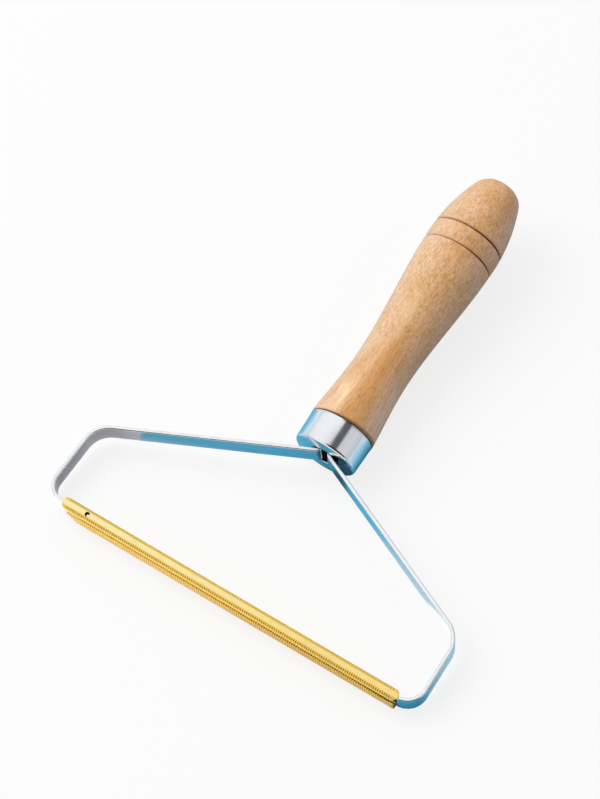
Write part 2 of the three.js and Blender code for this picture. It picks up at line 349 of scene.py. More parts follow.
# %% [markdown]
# The colours go on in layers, each a mask and a colour, so one loop blends them all. The left flank is
# painted paler and greyer, a painted sheen where the light falls, and the right flank a greyish pink, a
# painted sheen on the shaded side, lifted further as painted light near the ferrule. An orange streak of
# heartwood runs behind the ferrule, where the grain is straight and shows as lines. On the bulge the lathe
# cut across the grain, so there it shows as flecks.

# %% Colours of the wood
sideways = across * 0.98 - up * 0.19 + (wobble - 0.5) * 4 + (cloud - 0.5) * 3
on_top = up.fade(0, 4)
straight = along.fade(112, 86)
# painted sheen: the left flank, where the light falls, is painted paler and greyer
painted_sheen_left = sideways.fade(-1.5, -8.5)
# painted sheen: the shaded right flank is painted a paler greyish pink
painted_sheen_right = sideways.fade(3, 9)
streak = abs(sideways).fade(4.4, 1.2) * on_top * straight
tone = (cloud * 1.1 + fibre * 0.7 - 0.4).fade(0.1, 0.9)
colour = tone.blend(linear(233, 183, 129), linear(219, 161, 101))
wood_layers = [
    (painted_sheen_left * 0.8, (222, 189, 155)),
    (painted_sheen_right * 0.7, (226, 179, 147)),
    (ochre_patch * 0.42, (214, 160, 90)),
    (rosy_patch * 0.45, (240, 188, 154)),
    # painted light: near the ferrule the shaded right flank is painted lighter still
    (painted_sheen_right * along.fade(100, 76) * 0.6, (254, 220, 192)),
    (streak * (fibre * 0.9 + 0.25), (219, 152, 80)),
    (grain_line * (0.34 + straight * 0.24), (186, 128, 76)),
    (dark_fleck * (0.42 - straight * 0.24), (172, 115, 68)),
    (light_fleck * (0.42 - straight * 0.16) * (1 - streak * 0.7), (247, 213, 173)),
    (pore * 0.5, (140, 92, 56)),
]
for mask, layer_colour in wood_layers:
    colour = mask.blend(colour, linear(*layer_colour))
print("wood has", len(wood_layers), "layers of colour")

# %% [markdown]
# No two handles have the same marks. This one has a small dark spot between its grooves, two faint dark
# patches and two pale ones. Each is a soft oval: its place along the handle and sideways, its half length,
# its strength and its colour.

# %% Marks in the wood
dark_mark, pale_mark = linear(190, 124, 52), linear(246, 214, 170)
mark_half_width = 2.6
for mark_along, mark_side, half_length, strength, mark_colour in (
    (140.8, 0.3, 2.2, 0.5, dark_mark),
    (158, 6, 5, 0.35, dark_mark),
    (92, -6, 9, 0.3, dark_mark),
    (74, -5.5, 10, 0.8, pale_mark),
    (110, -3, 10, 0.4, pale_mark),
):
    mark_length = abs(along - mark_along).fade(half_length, 0)
    mark_width = abs(sideways - mark_side).fade(mark_half_width, 0)
    colour = (mark_length * mark_width * on_top * strength).blend(colour, mark_colour)
print("wood with its marks has", len(wood.node_tree.nodes), "nodes")

# %% [markdown]
# The two grooves were burnt dark with a wire while the handle turned, the one near the butt a little more.
# Both lines are painted darker and a little wider towards the right, as painted shade on the shaded side.
# Each line is a band of dark brown in a faint brown halo, with its edge roughened by the flecks. The wood
# has painted shade where it meets the ferrule, wider on the right, and its bore is painted dark as shade.

# %% Burnt lines, painted shade at the seat and in the bore
halo_brown, burnt_brown = linear(176, 110, 62), linear(122, 46, 12)
seat_shade_brown, bore_shade_brown = linear(74, 48, 32), linear(46, 33, 25)
burnt = 0
for groove, strength in zip(groove_alongs, (0.9, 1.0)):
    ragged = (fleck - 0.5) * 0.25
    # painted shade: the halo and the burnt line widen and darken towards the shaded right side
    from_groove = abs(along - groove + ragged) - sideways.fade(-4, 8) * 0.08
    colour = (from_groove.fade(0.8, 0.25) * 0.15).blend(colour, halo_brown)
    burn = from_groove.fade(0.36, 0.24)
    char_and_shade = burn * strength * (0.5 + fibre * 0.4 + sideways.fade(-8, 6) * 0.4)
    colour = char_and_shade.blend(colour, burnt_brown)
    burnt = burn + burnt
# painted shade: the wood is darkened where it meets the ferrule, reaching further on the right
seat_painted_shade = (along - across * 0.06).fade(shoulder_along + 1.0, shoulder_along)
colour = (seat_painted_shade * 0.7).blend(colour, seat_shade_brown)
# painted shade: the wall of the bore is painted dark brown
from_axis = paint.math("SQRT", across * across + up * up)
in_bore = from_axis.fade(5.7, 5.3) * along.fade(95, 94)
colour = in_bore.blend(colour, bore_shade_brown)
print("burnt lines at", groove_alongs, "mm along the handle")

# %% [markdown]
# The lacquer is thin, so fibres and pores still stand out under it as a very low relief, and the burnt
# lines are dull. A Bump node turns the noise into slopes without adding faces.

# %% Surface of the wood
wood_relief = fibre * 0.6 - dark_fleck * 0.3 - pore * 0.8
relief = paint.node(
    "ShaderNodeBump", {}, {"Strength": 0.2, "Distance": 0.05 * mm, "Height": wood_relief}
)
rough = 0.44 + (fibre - 0.5) * 0.2 + dark_fleck * 0.1 + burnt * 0.45
set_surface(paint, surface, Base_Color=colour, Roughness=rough, Normal=relief)
set_surface(paint, surface, IOR=1.5, Specular_IOR_Level=0.5)
print("wood finish has", len(wood.node_tree.nodes), "nodes")

# %% [markdown]
# Spin is Blender's lathe: it copies a profile round an axis in small steps and joins the copies by faces.
# Merging doubles then closes the seam and the poles, and recalculating the normals makes the skin point
# outwards. Edges of more than 35 degrees stay sharp in the shading, and the rest is smooth.


# %% Lathe
def turn_on_lathe(profile, segments):
    """Spins a profile once round the Y axis and closes it into one skin that points outwards."""
    select_only(profile)
    bpy.ops.object.mode_set(mode="EDIT")
    bpy.ops.mesh.select_all(action="SELECT")
    bpy.ops.mesh.spin(steps=segments, angle=2 * math.pi, center=(0, 0, 0), axis=(0, 1, 0))
    bpy.ops.mesh.select_all(action="SELECT")
    bpy.ops.mesh.remove_doubles(threshold=0.001 * mm)
    bpy.ops.mesh.normals_make_consistent(inside=False)
    bpy.ops.object.mode_set(mode="OBJECT")
    bpy.ops.object.shade_smooth_by_angle(angle=math.radians(35))


# %% [markdown]
# The handle is a body of revolution, so it is turned: a flare behind the ferrule, a waist for the fingers,
# a bulge for the palm and a domed butt. The profile also goes round the spigot that sits in the ferrule
# and down the bore that holds the frame's ends, so that the piece is one closed skin.

# %% Turned handle
shoulder = shoulder_along * mm
waist, bulge = 92.284 * mm, 140.784 * mm
spigot_front, bore_end = 57.584 * mm, 91.884 * mm
bore_radius, spigot_radius = 5.032 * mm, 10.1 * mm
shoulder_radius, waist_radius, bulge_radius = 11.25 * mm, 9.5 * mm, 12.435 * mm
corner_radius, flat_radius = 6.1 * mm, 2.6 * mm
butt_inset = 0.05 * mm
butt_end = butt - butt_inset
reach = butt_end - corner_radius - bulge
drop = bulge_radius - flat_radius
side_radius = (reach**2 + drop**2 - corner_radius**2) / (2 * (drop - corner_radius))
side_turn = math.degrees(math.asin(reach / (side_radius - corner_radius)))
edge_round, drill_point = 0.35 * mm, 2 * mm

handle_profile = DrawnLine(0, bore_end + drill_point)
handle_profile.straight((bore_radius, bore_end), (bore_radius, spigot_front))
handle_profile.straight((spigot_radius, spigot_front))
handle_profile.straight((spigot_radius, shoulder), (shoulder_radius - edge_round, shoulder))
handle_profile.arc((shoulder_radius - edge_round, shoulder + edge_round), edge_round, -90, -4)
leave_flare = (shoulder_radius - 0.4 * mm, shoulder + 7.5 * mm)
taper, swell = 10 * mm, 16 * mm
handle_profile.curve(leave_flare, (waist_radius, waist - taper), (waist_radius, waist))
handle_profile.curve((waist_radius, waist + swell), (bulge_radius, bulge - swell), (bulge_radius, bulge))
handle_profile.arc((bulge_radius - side_radius, bulge), side_radius, 0, side_turn)
handle_profile.arc((flat_radius, butt_end - corner_radius), corner_radius, side_turn, 90)
handle_profile.straight((0, butt_end))
handle = handle_profile.draw("turned_handle", 22)
turn_on_lathe(handle, 144)
print("handle turned with", len(handle.data.polygons), "faces")

# %% [markdown]
# Cutting the two grooves after turning, ring by ring, keeps the profile simple: each bisect leaves a ring
# of vertices, and scaling that ring towards the axis sinks it. The middle ring goes deepest, as under a
# wire.


# %% Burnt grooves
def pick(piece, test):
    """In edit mode, selects the vertices whose place passes a test, and nothing else."""
    mesh = bmesh.from_edit_mesh(piece.data)
    for face in mesh.faces:
        face.select_set(False)
    for edge in mesh.edges:
        edge.select_set(False)
    for vertex in mesh.verts:
        vertex.select_set(test(vertex.co))
    mesh.select_flush(True)
    bmesh.update_edit_mesh(piece.data)


groove_width, groove_depth = 0.56 * mm, 0.36 * mm
ring_shares = (-1, -0.8, -0.35, 0, 0.35, 0.8, 1)
close = 0.002 * mm
bpy.ops.object.mode_set(mode="EDIT")
for groove in groove_alongs:
    for share in ring_shares:
        ring_along = groove * mm + share * groove_width / 2
        bpy.ops.mesh.select_all(action="SELECT")
        bpy.ops.mesh.bisect(plane_co=(0, ring_along, 0), plane_no=(0, 1, 0))
        sink = groove_depth * (1 - abs(share)) ** 0.8
        pick(handle, lambda place: abs(place.y - ring_along) < close)
        shrink = 1 - sink / bulge_radius
        bpy.ops.transform.resize(value=(shrink, 1, shrink), center_override=(0, ring_along, 0))
bpy.ops.object.mode_set(mode="OBJECT")
bpy.ops.object.shade_smooth_by_angle(angle=math.radians(40))
hand_over(handle, "wooden_handle", wood)

# %% [markdown]
# Ferrule and frame are nickel-plated steel, polished but used: the plating mirrors the studio, faint lines
# follow the polishing wheel, and fingers leave soft smudges that blur the mirror. Only the direction of
# the lines differs, so one function makes both finishes. A metal has no colour of its own to paint, so the
# detail is in its roughness. The bar inside the head is painted dark brown as painted shade, and is rougher,
# except one spot under the head's hole that keeps the plain steel for a glint; both show through the hole.


# %% Steel finish
def steel_finish(name, line_scale, tint):
    finish, paint, surface, place = new_finish(name)
    across, along = place.split()[:2]
    lines = place.noise(*line_scale, 3, 0.6)
    smudge = place.noise(0.11, 0.11, 0.11, 3, 0.6).fade(0.42, 0.72)
    pit = place.noise(2.6, 2.6, 2.6, 1).fade(0.74, 0.8)
    # painted shade: the bar inside the head is painted dark, except a spot under the hole kept as plain
    # steel for the glint
    bar_shade_in_head = abs(along).fade(1.6, 1.3) * across.fade(-55.5, -54.5) * across.fade(61.5, 60.5)
    glint_under_hole = across.fade(-52.4, -52.1) * across.fade(-50.6, -51.0) * along.fade(0.4, 0.15)
    bar_shade_in_head = bar_shade_in_head * (1 - glint_under_hole)
    dimmed = [0.93 * part for part in tint]
    colour = (smudge * 0.5 + pit * 0.5).blend(linear(*tint), linear(*dimmed))
    painted_bar_shade = linear(66, 54, 42)
    colour = bar_shade_in_head.blend(colour, painted_bar_shade)
    rough = 0.07 + lines * 0.1 + smudge * 0.09 + pit * 0.15 + bar_shade_in_head * 0.4
    relief = paint.node(
        "ShaderNodeBump", {}, {"Strength": 0.1, "Distance": 0.02 * mm, "Height": lines - pit * 0.6}
    )
    set_surface(paint, surface, Base_Color=colour, Roughness=rough, Normal=relief, Metallic=1.0)
    print(name, "has", len(finish.node_tree.nodes), "nodes")
    return finish


ferrule_steel = steel_finish("polished_ferrule_steel", (0.05, 5.0, 0.05), (236, 237, 240))
strip_steel = steel_finish("polished_strip_steel", (0.06, 0.06, 6.0), (240, 241, 244))

# %% [markdown]
# The ferrule is a cup drawn from thin sheet. Its front edge is a soft round from the drawing die, its mouth
# flares a little and ends in a narrow rolled lip, and its face has a round hole for the frame's two ends.
# Turning the whole section of the sheet, outside and inside, gives the wall its thickness at once.

# %% Drawn ferrule
ferrule_front, ferrule_rear = 56.584 * mm, 66.984 * mm
front_radius, rear_radius, inner_radius = 10.893 * mm, 11.195 * mm, 10.4 * mm
front_wall, front_round = 0.7 * mm, 1.0 * mm
hole_round, lip_radius = 0.2 * mm, 0.24 * mm
neck_start, neck_start_sink, neck_sink = 0.75 * mm, 0.09 * mm, 0.16 * mm
face = ferrule_front
ferrule_profile = DrawnLine(bore_radius, face + front_wall)
ferrule_profile.arc((bore_radius + hole_round, face + hole_round), hole_round, 180, 270)
ferrule_profile.arc((front_radius - front_round, face + front_round), front_round, -90, -1.7)
ferrule_profile.straight((rear_radius - neck_start_sink, ferrule_rear - neck_start))
ferrule_profile.straight((rear_radius - neck_sink, ferrule_rear - 2 * lip_radius))
ferrule_profile.arc((rear_radius - lip_radius, ferrule_rear - lip_radius), lip_radius, -50, 90)
ferrule_profile.straight((inner_radius, ferrule_rear), (inner_radius, face + front_wall))
ferrule = ferrule_profile.draw("drawn_ferrule", 8, closed=True)
turn_on_lathe(ferrule, 128)
hand_over(ferrule, "ferrule", ferrule_steel)

# %% [markdown]
# The frame is one strip, 8 mm wide and 1.25 mm thick, bent on its flat: up one side of the handle's bore,
# round the frame, through the head and back. Its centre line is straight runs joined by arcs. The strip
# was bent by hand: the right upper corner lies about a millimetre further out than the left one, so the
# line is drawn alike on both sides, and then two corners on the right are moved a little.

# %% Corners and bends of the strip
strip_width, strip_thickness = 8.0 * mm, 1.25 * mm
head_length = 123.49 * mm
corner_rise, apex_rise, side_lean = 26.7 * mm, 57.15 * mm, 1.5 * mm
lower_bend, upper_bend, neck_bend = 6.2 * mm, 9.0 * mm, 2.0 * mm
tang_half_pitch, tang_length = 1.62 * mm, 31.0 * mm
foot_turn = math.pi / 2 + math.atan(side_lean / corner_rise)
foot_half_span = head_length / 2 + lower_bend * math.tan(foot_turn / 2)
corner_half_span = foot_half_span - side_lean
neck_rise = apex_rise - tang_half_pitch * (apex_rise - corner_rise) / corner_half_span
half_frame = [
    Vector((tang_half_pitch, neck_rise + tang_length)),
    Vector((tang_half_pitch, neck_rise)),
    Vector((corner_half_span, corner_rise)),
    Vector((foot_half_span, 0)),
]
corners = [Vector((-corner.x, corner.y)) for corner in half_frame] + half_frame[::-1]
right_foot, foot_shift = 4, Vector((-0.36, 0)) * mm
right_corner, corner_shift = 5, Vector((1.1, -0.5)) * mm
corners[right_foot] = corners[right_foot] + foot_shift
corners[right_corner] = corners[right_corner] + corner_shift
bends = [neck_bend, upper_bend, lower_bend, lower_bend, upper_bend, neck_bend]


def bent_line(corners, bends):
    """A line through corners, with an arc of the given radius at each inner one."""
    line = DrawnLine(*corners[0])
    for before, corner, after, radius in zip(corners, corners[1:], corners[2:], bends):
        arriving, leaving = (corner - before).normalized(), (after - corner).normalized()
        turn = math.atan2(arriving.cross(leaving), arriving.dot(leaving))
        side = math.copysign(1, turn)
        begin = corner - arriving * radius * math.tan(abs(turn) / 2)
        centre = begin + side * radius * Vector((-arriving.y, arriving.x))
        start = math.degrees(math.atan2(begin.y - centre.y, begin.x - centre.x))
        line.arc(centre, radius, start, start + math.degrees(turn))
    return line.straight(corners[-1])


strip = bent_line(corners, bends).draw("bent_strip", 14)
print("centre line of", len(strip.data.edges), "edges")

# %% [markdown]
# Extruding the centre line makes a ribbon, Solidify gives the ribbon its thickness to both sides, and a
# Bevel breaks the long sharp edges as the maker's tumbling did, which draws the thin bright lines along
# the strip.

# %% Bent strip
select_only(strip)
bpy.ops.object.mode_set(mode="EDIT")
bpy.ops.mesh.select_all(action="SELECT")
bpy.ops.transform.translate(value=(0, 0, -strip_width / 2))
bpy.ops.mesh.extrude_region_move(TRANSFORM_OT_translate={"value": (0, 0, strip_width)})
bpy.ops.mesh.select_all(action="SELECT")
bpy.ops.mesh.normals_make_consistent(inside=False)
bpy.ops.object.mode_set(mode="OBJECT")
edge_break = 0.4 * mm
thick = strip.modifiers.new("thick", "SOLIDIFY")
thick.thickness = strip_thickness
thick.offset = 0
thick.use_even_offset = True
broken_edge = strip.modifiers.new("broken_edge", "BEVEL")
broken_edge.width = edge_break
broken_edge.segments = 4
broken_edge.limit_method = "ANGLE"
broken_edge.angle_limit = math.radians(50)
broken_edge.harden_normals = True
bpy.ops.object.shade_smooth_by_angle(angle=math.radians(35))
for modifier in ("thick", "broken_edge"):
    bpy.ops.object.modifier_apply(modifier=modifier)
hand_over(strip, "steel_frame", strip_steel)

# %% [markdown]
# The head's brass was rolled, notched and folded. Its crests are painted paler than the sides, a painted
# highlight where they face the light, while the sides keep a deeper gold, and the notches are painted
# darker, partly grime and partly painted shade. The masks follow the drawing: the crests by their height,
# and the notches by the pitch of the teeth along the head, so the darker lines lie in the valleys.

# %% Masks of the brass
tooth_pitch = 0.78 * mm
tooth_count = 153
head_shift = 0.45 * mm
head_half_height, head_half_depth = 4.8 * mm, 1.95 * mm
fold_radius = 0.95 * mm
brass, paint, surface, place = new_finish("rolled_brass")
across, along, up = place.split()
height = abs(up)
crest = height.fade(4.66, 4.78) * abs(along).fade(0.95, 0.65)
beat = paint.math("FRACT", (across - head_shift / mm) / (tooth_pitch / mm) + 0.5 * tooth_count)
valley = abs(beat - 0.5).fade(0.3, 0.04)
toothed_folds = height.fade(3.6, 3.9) * (1 - crest)
toothed_flange = along.fade(-1.3, -1.4) * up.fade(-3.8, -3.4) * up.fade(0.5, 0.3)
notch = valley * (toothed_folds + toothed_flange)
stain = place.noise(0.22, 0.22, 0.22, 3, 0.6)
rolled = place.noise(0.05, 4.0, 4.0, 2)
speck = place.noise(2.7, 2.7, 2.7, 1).fade(0.71, 0.78)
to_right = across.fade(-45, 45)
# the notches are painted darker, more towards the bottom: partly grime, partly painted shade
dirt_and_shade = notch * (0.28 + up.fade(1, 0) * 0.3)
print("brass masks of", len(brass.node_tree.nodes), "nodes")

# %% [markdown]
# The brass grows a little deeper in colour to the right and below. Grime is no metal, so the mask of the
# darker notches, grime and painted shade together, also lowers the Metallic value where it lies, and the
# notches are rougher than the smooth worn crests.

# %% Brass finish
# painted highlight: the crests are painted paler than the sides
crest_painted_highlight = to_right.blend(linear(254, 238, 174), linear(253, 226, 148))
golden_side = to_right.blend(linear(251, 214, 110), linear(250, 208, 98))
colour = crest.blend(golden_side, crest_painted_highlight)
brass_layers = [
    (up.fade(0.5, 0) * to_right * 0.5, (224, 172, 66)),
    (stain.fade(0.45, 0.75) * 0.3, (240, 198, 104)),
    (dirt_and_shade, (200, 152, 60)),
    (speck * 0.3, (176, 130, 66)),
]
for mask, layer_colour in brass_layers:
    colour = mask.blend(colour, linear(*layer_colour))
rough = 0.26 - crest * 0.06 + rolled * 0.1 + stain * 0.08 + notch * 0.15
brass_relief = rolled + stain * 0.5 - speck
relief = paint.node(
    "ShaderNodeBump", {}, {"Strength": 0.15, "Distance": 0.03 * mm, "Height": brass_relief}
)
set_surface(paint, surface, Base_Color=colour, Roughness=rough, Normal=relief, Metallic=1 - dirt_and_shade)
print("brass finish has", len(brass.node_tree.nodes), "nodes")

# %% [markdown]
# The head is one brass sheet folded into a flat sleeve round the frame's front bar. The upper flange leans
# in against the bar, the lower flange stands in front of it, and its lip curls in to close the slit
# between them. The section of the sheet is drawn as one closed line: along its outside, round the lip and
# back along its inside. A few extra points lie on the crests and on the flange, where the teeth will need
# them.

# %% Section of the folded sheet
sheet = 0.45 * mm
fold_across, fold_up = head_half_depth - fold_radius, head_half_height - fold_radius
upper_lip_rise, upper_lip_out = 0.55 * mm, 1.4 * mm
curl_radius, curl_rise, curl_end = 0.6 * mm, -0.1 * mm, 98
curl_centre = (curl_radius - head_half_depth, curl_rise)
flange_rises = [-2.6 * mm, -1.3 * mm]
crest_knots = (-0.68, 0, 0.68)


def follow_folds(section, radius, inside):
    """Takes the line round the four folds, forwards for the sheet's outside and back for its inside."""
    folds = [(-1, 1, 180), (1, 1, 90), (1, -1, 0), (-1, -1, -90)]
    for number, (side, top, angle) in enumerate(folds[::-1] if inside else folds):
        if number % 2:
            crest_height = top * (fold_up + radius)
            section.straight(*[(knot * side * fold_across, crest_height) for knot in crest_knots])
        turn = (angle - 90, angle) if inside else (angle, angle - 90)
        section.arc((side * fold_across, top * fold_up), radius, *turn)


section = DrawnLine(-upper_lip_out, upper_lip_rise)
follow_folds(section, fold_radius, inside=False)
section.straight(*[(-head_half_depth, rise) for rise in flange_rises])
section.arc(curl_centre, curl_radius, 180, curl_end)
section.arc(curl_centre, curl_radius - sheet, curl_end, 180)
section.straight(*[(sheet - head_half_depth, rise) for rise in flange_rises[::-1]])
follow_folds(section, fold_radius - sheet, inside=True)
section.straight((sheet - upper_lip_out, upper_lip_rise))
head = section.draw("folded_head", 6, closed=True)
print("section of", len(head.data.vertices), "points")

# %% [markdown]
# Fine notches cross all four folds and the lip. Because all teeth are alike, one pitch of the sleeve is
# modelled and copied: the section is extruded in four steps, and the middle ring is pushed in to make the
# valley. The section was drawn in X and Y, so it is first turned to lay its X towards the handle and its Y
# up.

# %% One tooth pitch
select_only(head)
stand_up = Matrix(((0, 0, 1, 0), (1, 0, 0, 0), (0, 1, 0, 0), (0, 0, 0, 1)))
head.matrix_world = stand_up
bpy.ops.object.transform_apply(location=True, rotation=True, scale=True)
notch_width = 0.46 * mm
half_land = (tooth_pitch - notch_width) / 2
bpy.ops.object.mode_set(mode="EDIT")
bpy.ops.mesh.select_all(action="SELECT")
for step in (half_land, notch_width / 2, notch_width / 2, half_land):
    bpy.ops.mesh.extrude_region_move(TRANSFORM_OT_translate={"value": (step, 0, 0)})
print("one pitch has", len(bmesh.from_edit_mesh(head.data).faces), "faces")


# %% [markdown]
# A file cuts deepest where the sheet bulges most. So the round of each fold is pushed most of the way back
# to its chord, the crests get a nick beside it, the flange a shallow groove and both lips of the slit a
# notch.


# %% Valley between two teeth
def push_valley(test, shift):
    """Moves the vertices of the middle ring that pass a test, each by what the shift function says."""
    mesh = bmesh.from_edit_mesh(head.data)
    ring = [v.co.copy() for v in mesh.verts if abs(v.co.x - tooth_pitch / 2) < close and test(v.co)]
    for target in ring:
        pick(head, lambda place: (place - target).length < close)
        bpy.ops.transform.translate(value=shift(target))


def on_fold(place):
    offset = Vector((abs(place.y) - fold_across, abs(place.z) - fold_up))
    return min(offset) > close and abs(offset.length - fold_radius) < 0.02 * mm


def to_chord(place):
    """From the round of a fold most of the way to its chord."""
    chord_share = 0.8
    outward = Vector((0, math.copysign(1, place.y), math.copysign(1, place.z))).normalized()
    fold = Vector((place.x, math.copysign(fold_across, place.y), math.copysign(fold_up, place.z)))
    proud = (place - fold).dot(outward) - fold_radius * math.cos(math.pi / 4)
    return -outward * (proud * chord_share)


curl_top = curl_rise + curl_radius * math.sin(math.radians(curl_end))
groove_sink, lip_nick, crest_nick = 0.12 * mm, 0.15 * mm, 0.07 * mm
lip_notch = Vector((0, -0.18 * mm, -0.36 * mm))
flange_inside = -1.3 * mm
push_valley(on_fold, to_chord)
push_valley(
    lambda p: abs(abs(p.y) - fold_across) < close and abs(p.z) > head_half_height - close,
    lambda p: (0, 0, -math.copysign(crest_nick, p.z)),
)
push_valley(
    lambda p: p.y < close - head_half_depth and flange_rises[0] - close < p.z < curl_rise + close,
    lambda p: (0, groove_sink if p.z > flange_rises[0] + close else groove_sink / 2, 0),
)
push_valley(
    lambda p: p.y < flange_inside and curl_rise + close < p.z < curl_top + close,
    lambda p: lip_notch * ((p.z - curl_rise) / (curl_top - curl_rise)),
)
push_valley(lambda p: abs(p.z - upper_lip_rise) < close, lambda p: (0, 0, lip_nick))
print("valley cut", round(groove_sink / mm, 2), "mm deep on the flange")

# %% [markdown]
# An Array copies the pitch along the head and merges the seams, so the rows are one skin.

# %% Rows of teeth
bpy.ops.object.mode_set(mode="OBJECT")
row = head.modifiers.new("row", "ARRAY")
row.count = tooth_count
row.use_relative_offset = False
row.use_constant_offset = True
row.constant_offset_displace = (tooth_pitch, 0, 0)
row.use_merge_vertices = True
row.merge_threshold = close
bpy.ops.object.modifier_apply(modifier="row")
row_length = tooth_count * tooth_pitch
print("row of", tooth_count, "teeth,", round(row_length / mm, 2), "mm long")

# %% [markdown]
# At both ends a short plain stretch follows, cut to a rounded tongue: each vertex of the end ring is drawn
# back by as much as the rounded end asks for there. Bridging the outer and the inner line of the ring
# closes the sheet's cut edge.

# %% Rounded ends
plain_end = (head_length - row_length) / 2
end_radius = 1.9 * mm


def drawn_back(place):
    """How far the rounded end cuts back the sheet at this distance from the head's middle line."""
    beyond = min(max(0.0, abs(place.y) - head_half_depth + end_radius), end_radius)
    return end_radius - math.sqrt(end_radius**2 - beyond**2)


bpy.ops.object.mode_set(mode="EDIT")
bpy.ops.mesh.select_all(action="SELECT")
bpy.ops.transform.translate(value=(-row_length / 2, 0, 0))
for side in (-1, 1):
    pick(head, lambda place: abs(place.x - side * row_length / 2) < close)
    bpy.ops.mesh.extrude_region_move(TRANSFORM_OT_translate={"value": (side * plain_end, 0, 0)})
    mesh = bmesh.from_edit_mesh(head.data)
    for vertex in mesh.verts:
        if abs(vertex.co.x - side * head_length / 2) < close:
            vertex.co.x -= side * drawn_back(vertex.co)
    for part in (*mesh.faces, *mesh.edges, *mesh.verts):
        part.select_set(False)
    for edge in mesh.edges:
        span = edge.verts[0].co - edge.verts[1].co
        across_lip = abs(span.yz.length - sheet) < 5 * close
        if edge.is_boundary and edge.verts[0].co.x * side > 0 and not across_lip:
            edge.select_set(True)
    bmesh.update_edit_mesh(head.data)
    bpy.ops.mesh.bridge_edge_loops()
bpy.ops.mesh.select_all(action="SELECT")
bpy.ops.mesh.normals_make_consistent(inside=False)
open_edges = sum(edge.is_boundary for edge in bmesh.from_edit_mesh(head.data).edges)
print("head of", round(head_length / mm, 2), "mm with", open_edges, "open edges left")

# %% [markdown]
# On the real head the slit is pressed shut at the left, where its notches hardly show, and the lower
# flange has sprung open a little towards the right end, where the slit turns into a dark mouth. Filling
# the notches up again to the left, and moving each vertex of the flange outwards, more the nearer it is to
# the right end and to its lip, gives the same change without a kink.

# %% Slit that opens to the right
spring_start, spring = 44 * mm, 0.3 * mm
notch_full, notch_run = 40 * mm, 85 * mm
least_shut, most_shut = 0.12, 0.75
flange_back = -1.2 * mm
mesh = bmesh.from_edit_mesh(head.data)
for vertex in mesh.verts:
    place = vertex.co
    in_notch = abs((place.x + row_length / 2) / tooth_pitch % 1 - 0.5) < 0.05
    shut = min(max((notch_full - place.x) / notch_run, least_shut), most_shut)
    on_lip = place.y < flange_inside and curl_rise + close < place.z < upper_lip_rise - close
    if in_notch and on_lip:
        depth = (place.z - curl_rise) / (curl_top - curl_rise + lip_notch.z)
        place -= lip_notch * depth * shut
    elif in_notch and abs(place.z - upper_lip_rise - lip_nick) < close:
        place.z -= lip_nick * shut
    if place.y < flange_back and -fold_up < place.z < upper_lip_rise - close:
        along_end = max(0.0, place.x - spring_start) / (head_length / 2 - spring_start)
        place.y -= spring * along_end**1.5 * (place.z + fold_up) / (curl_top + fold_up)
bmesh.update_edit_mesh(head.data)
bpy.ops.object.mode_set(mode="OBJECT")
print("slit opens by", round(spring / mm, 2), "mm at the right end")

# %% [markdown]
# Three cuts finish the head: the small round hole in the crest near its left end, the slanting lower left
# corner and the rounded lower right one. Each cut has its own cutter: a cylinder for the hole, and for
# each corner a block with one side drawn as the curve that stays.

# %% Cutters for the hole and the corners
hole_from_end, hole_diameter, cutter_depth = 9.2 * mm, 1.6 * mm, 2 * mm
bpy.ops.object.select_all(action="DESELECT")
bpy.ops.mesh.primitive_cylinder_add(
    vertices=40,
    radius=hole_diameter / 2,
    depth=cutter_depth,
    location=(hole_from_end - head_length / 2, 0, head_half_height),
)
cutter = bpy.context.object
cutter.name = "head_cutter"


def corner_cutter(side, length, rise, slack):
    """A block over a lower corner of the head. A slack of 0.45 leaves an oval, and 1 a straight slant."""
    end, bottom, margin = head_length / 2, -head_half_height, 2 * mm
    outline = DrawnLine(side * (end + margin), bottom + rise)
    outline.straight((side * (end + margin), bottom - margin))
    outline.straight((side * (end - length), bottom - margin), (side * (end - length), bottom))
    leave = (side * (end - slack * length), bottom)
    arrive = (side * end, bottom + slack * rise)
    outline.curve(leave, arrive, (side * end, bottom + rise))
    block = outline.draw("corner_cutter", 10, closed=True)
    bpy.ops.object.mode_set(mode="EDIT")
    bpy.ops.mesh.select_all(action="SELECT")
    bpy.ops.mesh.edge_face_add()
    bpy.ops.mesh.extrude_region_move(TRANSFORM_OT_translate={"value": (0, 0, 4 * head_half_depth)})
    bpy.ops.mesh.select_all(action="SELECT")
    bpy.ops.mesh.normals_make_consistent(inside=False)
    bpy.ops.object.mode_set(mode="OBJECT")
    lay_down = Matrix(((1, 0, 0, 0), (0, 0, -1, 2 * head_half_depth), (0, 1, 0, 0), (0, 0, 0, 1)))
    block.matrix_world = lay_down
    bpy.ops.object.transform_apply(location=True, rotation=True, scale=True)
    return block


slanting = corner_cutter(side=-1, length=6.4 * mm, rise=8.6 * mm, slack=0.9)
rounded = corner_cutter(side=1, length=1.6 * mm, rise=2.8 * mm, slack=0.45)
print("cutters:", cutter.name, slanting.name, rounded.name)

# %% [markdown]
# A Boolean makes all three cuts at once from one joined cutter, which is deleted afterwards. Then the head
# moves to where it was crimped, slightly right of the frame's middle.

# %% Hole and lower corners
select_only(cutter)
for block in (slanting, rounded):
    block.select_set(True)
bpy.ops.object.join()
select_only(head)
cut = head.modifiers.new("cut", "BOOLEAN")
cut.operation = "DIFFERENCE"
cut.solver = "EXACT"
cut.object = cutter
bpy.ops.object.modifier_apply(modifier="cut")
select_only(cutter)
bpy.ops.object.delete()
select_only(head)
bpy.ops.object.shade_smooth_by_angle(angle=math.radians(28))
head.location.x = head_shift
bpy.ops.object.transform_apply(location=True, rotation=True, scale=True)
hand_over(head, "brass_head", brass)

# %% [markdown]
# The cured glue deep in the bore can only be glimpsed through the ferrule's hole, so the CAD solid stays
# as it is and just gets a slightly cloudy finish, painted dark brown as painted shade for the hole.

